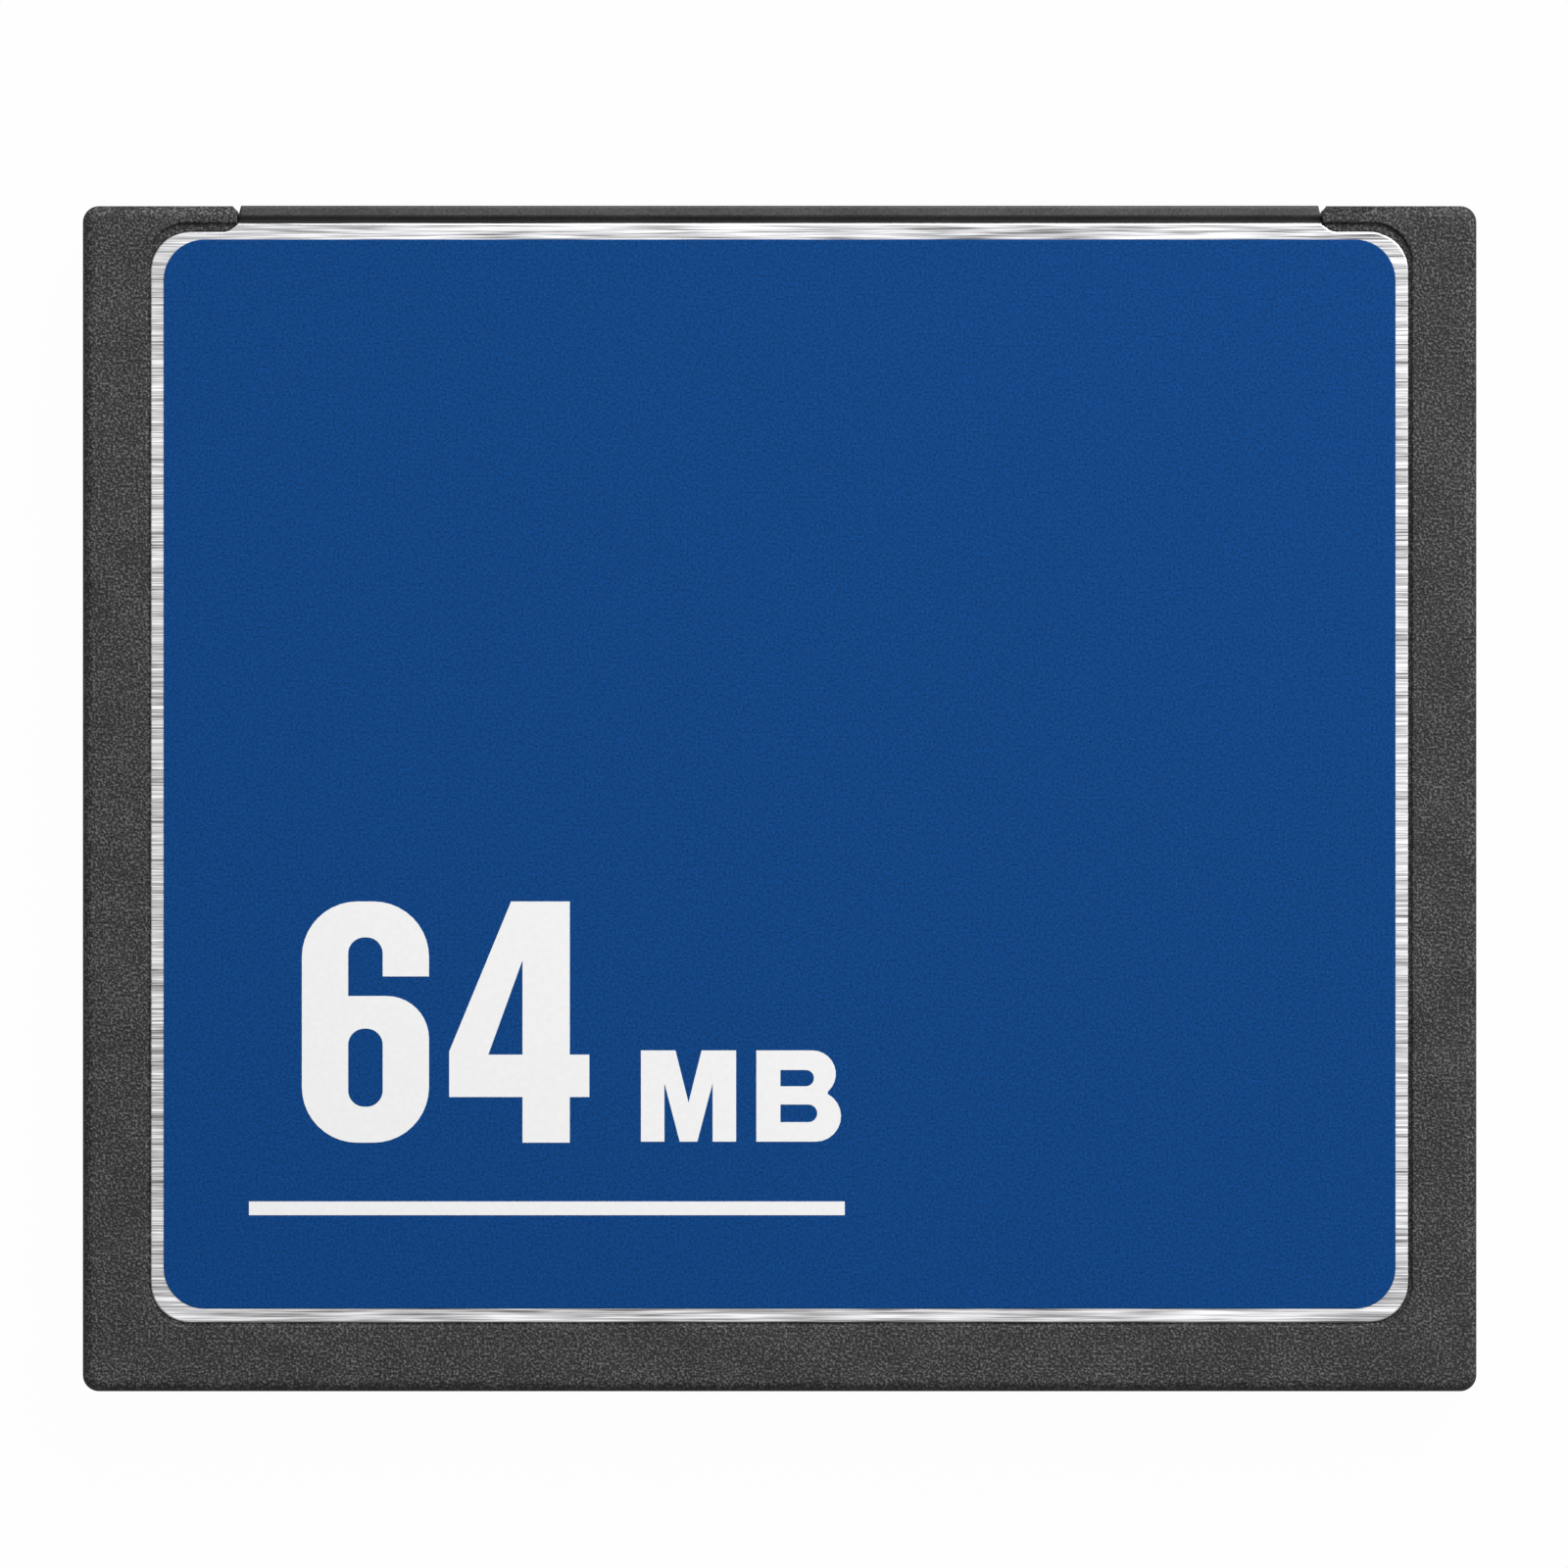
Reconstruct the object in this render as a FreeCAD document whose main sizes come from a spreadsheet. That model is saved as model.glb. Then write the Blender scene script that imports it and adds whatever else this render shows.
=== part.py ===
"""A slim memory card with a two-row socket connector along one long edge.

Two moulded half frames grip a pressed steel panel each and close on a circuit board, whose front edge
lies between the tails of the connector's two rows of contacts. The upper panel carries a printed label.

Frame: X along the connector edge, Y towards that edge, Z up through the label. The origin is at the
centre of the card's underside. All lengths are in millimetres. The overall size follows from what the
card holds: the connector sets the width, the connector and the board set the length, and the stack of
panel, chip and board sets the thickness.
"""

import FreeCAD, Part
import math
import os
import types

import Sketcher

SIZES = [
    # connector
    ("pin_pitch", 1.27),
    ("pins_per_row", 25),
    ("row_spacing", 1.27),
    ("socket_size", 0.66),
    ("lead_in_size", 0.95),
    ("lead_in_depth", 0.25),
    ("connector_end_wall", 1.38),
    ("connector_depth", 5.8),
    ("block_clearance", 0.05),
    ("lip_depth", 0.36),
    ("lip_slant", 0.09),
    ("lip_drop", 0.05),
    ("lip_break", 0.06),
    ("lip_groove", 0.15),
    ("wing_reach", 1.28),
    ("wing_length", 2.8),
    ("wing_height", 1.4),
    ("wing_set_back", 1.8),
    ("fit_gap", 0.03),
    # contacts
    ("contact_thickness", 0.5),
    ("contact_clearance", 0.02),
    ("contact_set_back", 1.0),
    ("fork_length", 3.2),
    ("fork_gap", 0.32),
    ("tail_thickness", 0.18),
    ("tail_drop_length", 0.65),
    ("tail_foot", 0.8),
    # stack through the thickness
    ("panel_recess", 0.1),
    ("sheet_thickness", 0.2),
    ("insulator_thickness", 0.05),
    ("chip_clearance", 0.1),
    ("chip_thickness", 0.95),
    ("chip_standoff", 0.05),
    ("board_thickness", 0.5),
    ("underside_clearance", 1.0),
    # half frames
    ("arm_width", 4.78),
    ("corner_land", 0.14),
    ("rim_round", 0.36),
    ("side_rim", 2.0),
    ("rear_rim", 2.03),
    ("front_rim", 0.53),
    ("recess_corner", 1.2),
    ("ledge_drop", 0.03),
    ("notch_width", 0.13),
    ("notch_depth", 0.3),
    ("board_side_wall", 2.75),
    ("board_rear_wall", 2.45),
    ("shelf_width", 0.4),
    ("post_gap", 0.2),
    ("slot_depth", 0.6),
    ("slot_length", 25.78),
    ("narrow_slot", 1.14),
    ("wide_slot", 1.68),
    ("peg_width", 0.7),
    ("peg_height", 0.5),
    ("peg_side_inset", 1.75),
    ("peg_rear_inset", 1.2),
    ("peg_front_inset", 3.2),
    # steel panels
    ("panel_gap", 0.06),
    ("panel_corner", 1.25),
    ("shoulder_ledge", 0.24),
    ("ramp_length", 0.35),
    ("ramp_round", 0.4),
    ("joggle_depth", 0.25),
    ("flange_width", 0.6),
    ("flange_set_back", 2.6),
    ("panel_edge_break", 0.06),
    # label and insulators
    ("label_thickness", 0.08),
    ("label_side_margin", 0.44),
    ("label_rear_margin", 0.46),
    ("label_front_margin", 0.27),
    ("label_corner", 1.25),
    ("insulator_margin", 0.7),
    # circuit board and what is soldered to it
    ("board_length", 27.47),
    ("component_margin", 1.2),
    ("lead_width", 0.2),
    ("lead_thickness", 0.127),
    ("lead_foot", 0.45),
    ("memory_lead_pitch", 0.5),
    ("memory_lead_count", 24),
    ("memory_end_margin", 0.15),
    ("memory_length", 18.4),
    ("memory_lead_reach", 0.8),
    ("controller_lead_pitch", 0.5),
    ("controller_lead_count", 16),
    ("controller_end_margin", 1.15),
    ("controller_lead_reach", 1.0),
    ("regulator_lead_pitch", 0.95),
    ("regulator_lead_count", 3),
    ("regulator_lead_width", 0.4),
    ("regulator_end_margin", 0.3),
    ("regulator_depth", 1.6),
    ("regulator_lead_reach", 0.7),
    ("crystal_length", 5.0),
    ("crystal_width", 3.2),
    ("crystal_base_height", 0.4),
    ("crystal_lid_height", 0.25),
    ("crystal_lid_margin", 0.3),
    ("crystal_side_inset", 8.0),
    ("crystal_rear_inset", 6.0),
    ("capacitor_length", 1.6),
    ("capacitor_width", 0.8),
    ("capacitor_height", 0.5),
    ("capacitor_pitch", 2.1),
    ("capacitor_count", 4),
    ("resistor_length", 1.6),
    ("resistor_width", 0.8),
    ("resistor_height", 0.4),
    ("resistor_pitch", 1.6),
    ("resistor_count", 6),
    ("terminal_length", 0.3),
    ("terminal_proud", 0.03),
    ("network_length", 3.2),
    ("network_width", 1.6),
    ("network_height", 0.5),
    ("network_pitch", 4.6),
    ("network_count", 6),
    # overlap of a cutting shape past the face that it opens
    ("cut_margin", 1.0),
]


class Dim:
    """A length that knows its present value and the sheet expression that gives it."""

    def __init__(self, value, text):
        self.value = value
        self.text = text

    def joined(self, sign, other, value):
        return Dim(value, f"({self.text} {sign} {other.text})")

    def __add__(self, other):
        return self.joined("+", other, self.value + other.value)

    def __sub__(self, other):
        return self.joined("-", other, self.value - other.value)

    def __mul__(self, other):
        return self.joined("*", other, self.value * other.value)

    def __neg__(self):
        return Dim(-self.value, f"(0 - {self.text})")

    def half(self):
        return Dim(self.value / 2, f"({self.text} / 2)")

    def twice(self):
        return Dim(self.value * 2, f"({self.text} * 2)")

    def gaps(self):
        return Dim(self.value - 1, f"({self.text} - 1)")


def smaller(first, second):
    return Dim(min(first.value, second.value), f"min({first.text}; {second.text})")


doc = FreeCAD.newDocument("memory_card")
sheet = doc.addObject("Spreadsheet::Sheet", "sizes")
size = types.SimpleNamespace()
for row, (alias, amount) in enumerate(SIZES, start=1):
    sheet.set(f"A{row}", alias)
    sheet.set(f"B{row}", str(amount))
    sheet.setAlias(f"B{row}", alias)
    setattr(size, alias, Dim(amount, f"sizes.{alias}"))
doc.recompute()

ground = Dim(0.0, "0")

# heights nearer than this count as the same
SAME_HEIGHT = 1e-4

# overall size, from the inside out
half_connector = (size.pins_per_row.gaps() * size.pin_pitch).half() + size.connector_end_wall
half_width = half_connector + size.arm_width
board_span = size.board_length + size.fit_gap + size.board_rear_wall
card_length = size.connector_depth + size.tail_drop_length + board_span
front = card_length.half()
rear = -front
shell_depth = size.panel_recess + size.sheet_thickness
half_board = size.board_thickness.half()
chip_height = size.chip_standoff + size.chip_thickness
upper_half = shell_depth + size.insulator_thickness + size.chip_clearance + chip_height + half_board
lower_half = shell_depth + size.insulator_thickness + size.underside_clearance + half_board
parting = lower_half
card_height = lower_half + upper_half

# panel and the bed that it lies in
ledge_depth = size.panel_recess + size.ledge_drop
bed_depth = shell_depth + size.joggle_depth
panel_side = half_width - size.side_rim - size.panel_gap
panel_rear = rear + size.rear_rim + size.panel_gap
panel_shoulder = front - size.front_rim - size.shoulder_ledge
panel_edge = front - size.lip_depth - size.lip_groove
ramp_side = half_connector + size.ramp_length

# circuit board and its seat
seat_side = half_width - size.board_side_wall
seat_rear = rear + size.board_rear_wall
board_side = seat_side - size.fit_gap
board_rear = seat_rear + size.fit_gap
board_front = board_rear + size.board_length
board_top = parting + half_board
board_bottom = parting - half_board

# connector
connector_rear = front - size.connector_depth
wing_front = front - size.wing_set_back
wing_rear = wing_front - size.wing_length
first_pin = -(size.pins_per_row.gaps() * size.pin_pitch).half()
half_row = size.row_spacing.half()


def origin_feature(body, role):
    return next(feature for feature in body.Origin.OriginFeatures if feature.Role == role)


def new_body(label, x=ground, y=ground, z=ground):
    body = doc.addObject("PartDesign::Body", label)
    body.Label = label
    body.AllowCompound = True
    for axis, place in (("x", x), ("y", y), ("z", z)):
        body.setExpression(f"Placement.Base.{axis}", place.text)
    return body


def new_sketch(body, name, role, offset):
    sketch = body.newObject("Sketcher::SketchObject", name)
    sketch.AttachmentSupport = [(origin_feature(body, role), "")]
    sketch.MapMode = "FlatFace"
    sketch.setExpression("AttachmentOffset.Base.z", offset.text)
    return sketch


def constrain(sketch, length, *arguments):
    index = sketch.addConstraint(Sketcher.Constraint(*arguments, length.value))
    sketch.setExpression(f"Constraints[{index}]", length.text)


def place_point(sketch, geometry, position, x, y):
    constrain(sketch, x, "DistanceX", geometry, position)
    constrain(sketch, y, "DistanceY", geometry, position)


def corner_arc(before, here, after, radius):
    """The arc that rounds a corner, and whether it starts on the edge that comes in."""
    inward = (before - here).normalize()
    outward = (after - here).normalize()
    half_angle = inward.getAngle(outward) / 2
    reach = radius / math.tan(half_angle)
    arrive = here + inward * reach
    leave = here + outward * reach
    centre = here + (inward + outward).normalize() * (radius / math.sin(half_angle))
    turns_left = inward.cross(outward).z < 0
    first, last = (arrive, leave) if turns_left else (leave, arrive)
    angles = [math.atan2(point.y - centre.y, point.x - centre.x) for point in (first, last)]
    circle = Part.Circle(centre, FreeCAD.Vector(0, 0, 1), radius)
    return Part.ArcOfCircle(circle, *angles), arrive, leave, turns_left


def outline(sketch, corners):
    """A closed outline through corners of (x, y, radius), sharp where the radius is None."""
    points = [FreeCAD.Vector(x.value, y.value, 0) for x, y, radius in corners]
    total = len(points)
    arcs, arrivals, leavings = {}, list(points), list(points)
    for index, (x, y, radius) in enumerate(corners):
        if radius is not None:
            neighbours = points[index - 1], points[index], points[(index + 1) % total]
            arc, arrivals[index], leavings[index], turns_left = corner_arc(*neighbours, radius.value)
            arcs[index] = sketch.addGeometry(arc), turns_left
    lines = [
        sketch.addGeometry(Part.LineSegment(leavings[index], arrivals[(index + 1) % total]))
        for index in range(total)
    ]
    for index, (x, y, radius) in enumerate(corners):
        line_in, line_out = lines[index - 1], lines[index]
        if radius is None:
            sketch.addConstraint(Sketcher.Constraint("Coincident", line_in, 2, line_out, 1))
            place_point(sketch, line_out, 1, x, y)
            continue
        arc, turns_left = arcs[index]
        arc_in, arc_out = (1, 2) if turns_left else (2, 1)
        sketch.addConstraint(Sketcher.Constraint("Tangent", line_in, 2, arc, arc_in))
        sketch.addConstraint(Sketcher.Constraint("Tangent", line_out, 1, arc, arc_out))
        constrain(sketch, radius, "Radius", arc)
        corner = sketch.addGeometry(Part.Point(points[index]), True)
        sketch.addConstraint(Sketcher.Constraint("PointOnObject", corner, 1, line_in))
        sketch.addConstraint(Sketcher.Constraint("PointOnObject", corner, 1, line_out))
        place_point(sketch, corner, 1, x, y)


def rectangle(sketch, left, right, low, high, radius=None):
    outline(sketch, [(left, low, radius), (right, low, radius), (right, high, radius), (left, high, radius)])


def pad(body, name, sketch, length, backwards=False):
    feature = body.newObject("PartDesign::Pad", name)
    feature.Profile = sketch
    feature.Reversed = backwards
    feature.setExpression("Length", length.text)
    doc.recompute()
    return feature


def pocket(body, name, sketch, length, backwards=False, taper=None):
    volume = body.Shape.Volume
    feature = body.newObject("PartDesign::Pocket", name)
    feature.Profile = sketch
    feature.Reversed = backwards
    feature.setExpression("Length", length.text)
    if taper is not None:
        feature.setExpression("TaperAngle", taper)
    doc.recompute()
    if body.Shape.Volume >= volume:
        raise RuntimeError(f"{name} of {body.Label} cuts nothing")
    return feature


def dress_edges(body, name, kind, length, chosen):
    """A Fillet or Chamfer on the chosen edges of the body so far."""
    base = body.Tip
    names = [f"Edge{index}" for index, edge in enumerate(base.Shape.Edges, start=1) if chosen(edge)]
    feature = body.newObject(f"PartDesign::{kind}", name)
    feature.Base = (base, names)
    feature.setExpression("Radius" if kind == "Fillet" else "Size", length.text)
    doc.recompute()
    return feature


def lies_flat_at(height):
    """A test for edges that lie wholly at one height."""

    def test(edge):
        box = edge.BoundBox
        return all(math.isclose(z, height.value, abs_tol=SAME_HEIGHT) for z in (box.ZMin, box.ZMax))

    return test


def row_of(body, name, originals, role, spacing, count):
    feature = body.newObject("PartDesign::LinearPattern", name)
    feature.Originals = originals
    feature.Direction = (origin_feature(body, role), [""])
    feature.Mode = "Spacing"
    feature.setExpression("Offset", spacing.text)
    feature.setExpression("Occurrences", count.text)
    body.Tip = feature
    return feature


def turned_copies(body, name, count):
    feature = body.newObject("PartDesign::PolarPattern", name)
    feature.TransformMode = "Whole shape"
    feature.Axis = (origin_feature(body, "Z_Axis"), [""])
    feature.Angle = 360
    feature.Occurrences = count
    body.Tip = feature
    return feature


def panel_outline(sketch):
    corner = smaller(size.panel_corner, panel_side - ramp_side - size.ramp_round)
    right = [
        (panel_side, panel_rear, corner),
        (panel_side, panel_shoulder, corner),
        (ramp_side, panel_shoulder, size.ramp_round),
        (half_connector, panel_edge, None),
    ]
    left = [(-x, y, radius) for x, y, radius in reversed(right)]
    outline(sketch, right + left)


def flange_outlines(sketch):
    """Three straight flanges, clear of the round corners, each starting in the panel's turned-down wall."""
    inner, outer = panel_side - size.sheet_thickness, panel_side + size.flange_width
    span = panel_rear + size.panel_corner, front - size.flange_set_back
    rectangle(sketch, inner, outer, *span)
    rectangle(sketch, -outer, -inner, *span)
    rear_side = panel_side - size.panel_corner
    rear_span = panel_rear - size.flange_width, panel_rear + size.sheet_thickness
    rectangle(sketch, -rear_side, rear_side, *rear_span)


def peg_outlines(sketch, width):
    side = half_width - size.peg_side_inset
    reach = width.half()
    for x in (-side, side):
        for y in (rear + size.peg_rear_inset, front - size.peg_front_inset):
            rectangle(sketch, x - reach, x + reach, y - reach, y + reach)


def notch_outlines(sketch, arm_end):
    """A slanted cut on the end of each arm, which opens a small V beside the connector's lip."""
    past_front = front + size.cut_margin
    right = [
        (arm_end, front - size.notch_depth, None),
        (arm_end + size.notch_width, front, None),
        (arm_end + size.notch_width, past_front, None),
        (arm_end, past_front, None),
    ]
    outline(sketch, right)
    outline(sketch, [(-x, y, radius) for x, y, radius in reversed(right)])


def half_frame(label, upper):
    """One moulded half, from the parting plane to its outer face."""
    body = new_body(label)
    height = upper_half if upper else lower_half
    face = card_height if upper else ground
    groove_depth = size.panel_recess + size.joggle_depth
    groove_level = face - groove_depth if upper else groove_depth

    def sketch_at(name, level):
        return new_sketch(body, f"{label}_{name}_sketch", "XY_Plane", level)

    def from_face(name, draw, length, level=face):
        sketch = sketch_at(name, level)
        draw(sketch)
        pocket(body, f"{label}_{name}", sketch, length, backwards=not upper)

    def from_parting(name, draw, length):
        sketch = sketch_at(name, parting)
        draw(sketch)
        pocket(body, f"{label}_{name}", sketch, length, backwards=upper)

    plan = sketch_at("plan", parting)
    rectangle(plan, -half_width, half_width, rear, front, size.corner_land + size.rim_round)
    pad(body, f"{label}_block", plan, height, backwards=not upper)
    dress_edges(body, f"{label}_rim", "Fillet", size.rim_round, lies_flat_at(face))

    recess_side = half_width - size.side_rim
    recess_span = rear + size.rear_rim, front - size.front_rim
    from_face("recess", lambda s: rectangle(s, -recess_side, recess_side, *recess_span, size.recess_corner),
              ledge_depth)
    from_face("panel_bed", panel_outline, bed_depth)
    from_face("flange_grooves", flange_outlines, size.sheet_thickness, groove_level)

    cavity_side = seat_side - size.shelf_width
    cavity_rear = seat_rear + size.shelf_width
    cavity_front = connector_rear + size.post_gap
    from_parting("cavity", lambda s: rectangle(s, -cavity_side, cavity_side, cavity_rear, cavity_front),
                 height)
    from_parting("board_seat", lambda s: rectangle(s, -seat_side, seat_side, seat_rear, cavity_front),
                 half_board)

    bay_side = half_connector + size.fit_gap
    bay_span = cavity_front - size.cut_margin, front + size.cut_margin
    from_parting("connector_bay", lambda s: rectangle(s, -bay_side, bay_side, *bay_span), height)
    from_parting("arm_notches", lambda s: notch_outlines(s, bay_side), height)
    wing_side = bay_side + size.wing_reach
    wing_span = wing_rear - size.fit_gap, wing_front + size.fit_gap
    from_parting("wing_pockets", lambda s: rectangle(s, -wing_side, wing_side, *wing_span),
                 size.wing_height.half() + size.fit_gap)

    slot_span = front - size.slot_length, front + size.cut_margin
    slot_floor = half_width - size.slot_depth
    slot_mouth = half_width + size.cut_margin
    from_parting("narrow_slot", lambda s: rectangle(s, -slot_mouth, -slot_floor, *slot_span),
                 size.narrow_slot.half())
    from_parting("wide_slot", lambda s: rectangle(s, slot_floor, slot_mouth, *slot_span),
                 size.wide_slot.half())

    if upper:
        from_parting("peg_holes", lambda s: peg_outlines(s, size.peg_width + size.fit_gap.twice()),
                     size.peg_height + size.fit_gap)
    else:
        pegs = sketch_at("pegs", parting)
        peg_outlines(pegs, size.peg_width)
        pad(body, f"{label}_pegs", pegs, size.peg_height)

    return body


def steel_panel(label, upper):
    """A pressed sheet whose side and rear flanges step down into the frame."""
    body = new_body(label)
    bed = card_height - bed_depth if upper else bed_depth
    skin = card_height - size.panel_recess if upper else size.panel_recess

    def sketch_at_bed(name):
        return new_sketch(body, f"{label}_{name}_sketch", "XY_Plane", bed)

    plateau = sketch_at_bed("plateau")
    panel_outline(plateau)
    pad(body, f"{label}_plateau", plateau, size.joggle_depth + size.sheet_thickness, backwards=not upper)
    dress_edges(body, f"{label}_edge", "Chamfer", size.panel_edge_break, lies_flat_at(skin))

    flanges = sketch_at_bed("flanges")
    flange_outlines(flanges)
    pad(body, f"{label}_flanges", flanges, size.sheet_thickness, backwards=not upper)

    hollow = sketch_at_bed("hollow")
    side = panel_side - size.sheet_thickness
    back = panel_rear + size.sheet_thickness
    end = panel_edge + size.cut_margin
    corner = size.panel_corner - size.sheet_thickness
    outline(hollow, [(-side, back, corner), (side, back, corner), (side, end, None), (-side, end, None)])
    pocket(body, f"{label}_hollow", hollow, size.joggle_depth, backwards=upper)
    return body


def printed_label():
    body = new_body("label")
    sketch = new_sketch(body, "label_sketch", "XY_Plane", card_height - size.panel_recess)
    side = panel_side - size.label_side_margin
    span = panel_rear + size.label_rear_margin, panel_shoulder - size.label_front_margin
    rectangle(sketch, -side, side, *span, size.label_corner)
    pad(body, "label_sheet", sketch, size.label_thickness)
    return body


def insulator(label, level):
    body = new_body(label)
    sketch = new_sketch(body, f"{label}_sketch", "XY_Plane", level)
    side = panel_side - size.sheet_thickness - size.insulator_margin
    span = panel_rear + size.sheet_thickness + size.insulator_margin, connector_rear - size.insulator_margin
    rectangle(sketch, -side, side, *span)
    pad(body, f"{label}_film", sketch, size.insulator_thickness)
    return body


def connector_housing():
    """The moulded socket block, with a lip along the card's edge and a wing at each end."""
    label = "connector_housing"
    body = new_body(label)
    lip_rear = front - size.lip_depth
    block_low = shell_depth + size.block_clearance
    block = new_sketch(body, f"{label}_block_sketch", "XY_Plane", block_low)
    rectangle(block, -half_connector, half_connector, connector_rear, lip_rear)
    pad(body, f"{label}_block", block, card_height - block_low.twice())

    lip = new_sketch(body, f"{label}_lip_sketch", "XY_Plane", size.lip_drop)
    lip_end = half_connector - size.lip_slant
    outline(lip, [(-half_connector, lip_rear, None), (half_connector, lip_rear, None),
                  (lip_end, front, None), (-lip_end, front, None)])
    pad(body, f"{label}_lip", lip, card_height - size.lip_drop.twice())
    faces = lies_flat_at(size.lip_drop), lies_flat_at(card_height - size.lip_drop)
    dress_edges(body, f"{label}_lip_edges", "Chamfer", size.lip_break,
                lambda edge: any(face(edge) for face in faces))

    wings = new_sketch(body, f"{label}_wing_sketch", "XY_Plane", parting - size.wing_height.half())
    wing_side = half_connector + size.wing_reach
    rectangle(wings, -wing_side, wing_side, wing_rear, wing_front)
    pad(body, f"{label}_wings", wings, size.wing_height)

    def square_holes(name, width, length, taper=None):
        sketch = new_sketch(body, f"{label}_{name}_sketch", "XZ_Plane", -front)
        left, right = first_pin - width.half(), first_pin + width.half()
        for row_centre in (parting - half_row, parting + half_row):
            rectangle(sketch, left, right, row_centre - width.half(), row_centre + width.half())
        return pocket(body, f"{label}_{name}", sketch, length, backwards=True, taper=taper)

    socket = square_holes("socket", size.socket_size, size.connector_depth + size.cut_margin)
    narrowing = (size.lead_in_size - size.socket_size).half()
    lead_in = square_holes("lead_in", size.lead_in_size, size.lead_in_depth,
                          f"-1 * atan({narrowing.text} / {size.lead_in_depth.text})")
    row_of(body, f"{label}_sockets", [socket, lead_in], "X_Axis", size.pin_pitch, size.pins_per_row)
    doc.recompute()
    return body


def contact_row(label, upper):
    """A row of stamped fork contacts, whose tails step down onto the board."""
    body = new_body(label)
    centre = parting + half_row if upper else parting - half_row
    board_face = board_top if upper else board_bottom

    def away(level, rise):
        return level + rise if upper else level - rise

    reach = size.socket_size.half() - size.contact_clearance
    slit = size.fork_gap.half()
    mouth = front - size.contact_set_back
    root = mouth - size.fork_length
    foot_end = board_front - size.tail_foot
    near = away(centre, -reach)
    profile = [
        (mouth, away(centre, reach)),
        (connector_rear, away(centre, reach)),
        (connector_rear, away(near, size.tail_thickness)),
        (foot_end, away(board_face, size.tail_thickness)),
        (foot_end, board_face),
        (board_front, board_face),
        (connector_rear, near),
        (mouth, near),
        (mouth, away(centre, -slit)),
        (root, away(centre, -slit)),
        (root, away(centre, slit)),
        (mouth, away(centre, slit)),
    ]
    sketch = new_sketch(body, f"{label}_sketch", "YZ_Plane", first_pin - size.contact_thickness.half())
    outline(sketch, [(y, z, None) for y, z in profile])
    contact = pad(body, f"{label}_contact", sketch, size.contact_thickness)
    row_of(body, f"{label}_row", [contact], "X_Axis", size.pin_pitch, size.pins_per_row)
    doc.recompute()
    return body


def circuit_board():
    body = new_body("circuit_board")
    sketch = new_sketch(body, "circuit_board_sketch", "XY_Plane", board_bottom)
    rectangle(sketch, -board_side, board_side, board_rear, board_front)
    pad(body, "circuit_board_sheet", sketch, size.board_thickness)
    return body


def chip_body(label, x, y, width, length):
    body = new_body(label, x, y, board_top)
    sketch = new_sketch(body, f"{label}_sketch", "XY_Plane", size.chip_standoff)
    side, end = width.half(), length.half()
    rectangle(sketch, -side, side, -end, end)
    pad(body, f"{label}_package", sketch, size.chip_thickness)
    return body


def chip_leads(label, x, y, length, reach, pitch, count, width, sides):
    """Gull-wing leads in a row along one end of a chip, turned about it to the other ends."""
    body = new_body(label, x, y, board_top)
    start = length.half()
    middle = size.chip_standoff + size.chip_thickness.half()
    thick = size.lead_thickness
    toe = start + reach
    heel = toe - size.lead_foot
    profile = [
        (start, middle + thick.half()),
        (start, middle - thick.half()),
        (heel, ground),
        (toe, ground),
        (toe, thick),
        (heel + thick, thick),
    ]
    first = -(count.gaps() * pitch).half()
    sketch = new_sketch(body, f"{label}_sketch", "YZ_Plane", first - width.half())
    outline(sketch, [(y, z, None) for y, z in profile])
    lead = pad(body, f"{label}_lead", sketch, width)
    row_of(body, f"{label}_row", [lead], "X_Axis", pitch, count)
    turned_copies(body, f"{label}_sides", sides)
    doc.recompute()
    return body


def terminal_parts(label, x, y, z, length, width, height, pitch, count, below=False):
    """A row of small ceramic blocks with a metal cap at each end, lying across the row."""
    body = new_body(label, x, y, z)
    block = new_sketch(body, f"{label}_block_sketch", "XY_Plane", ground)
    side, end = width.half(), length.half()
    rectangle(block, -side, side, -end, end)
    core = pad(body, f"{label}_block", block, height, backwards=below)
    caps = new_sketch(body, f"{label}_cap_sketch", "XY_Plane", ground)
    cap_side, cap_end = side + size.terminal_proud, end + size.terminal_proud
    inner = end - size.terminal_length
    rectangle(caps, -cap_side, cap_side, inner, cap_end)
    rectangle(caps, -cap_side, cap_side, -cap_end, -inner)
    cap = pad(body, f"{label}_caps", caps, height + size.terminal_proud, backwards=below)
    row_of(body, f"{label}_row", [core, cap], "X_Axis", pitch, count)
    doc.recompute()
    return body


def crystal_piece(label, z, height, margin):
    x = board_side - size.crystal_side_inset
    y = board_rear + size.crystal_rear_inset
    body = new_body(label, x, y, z)
    sketch = new_sketch(body, f"{label}_sketch", "XY_Plane", ground)
    side, end = size.crystal_length.half() - margin, size.crystal_width.half() - margin
    rectangle(sketch, -side, side, -end, end)
    pad(body, f"{label}_block", sketch, height, backwards=True)
    return body


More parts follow.
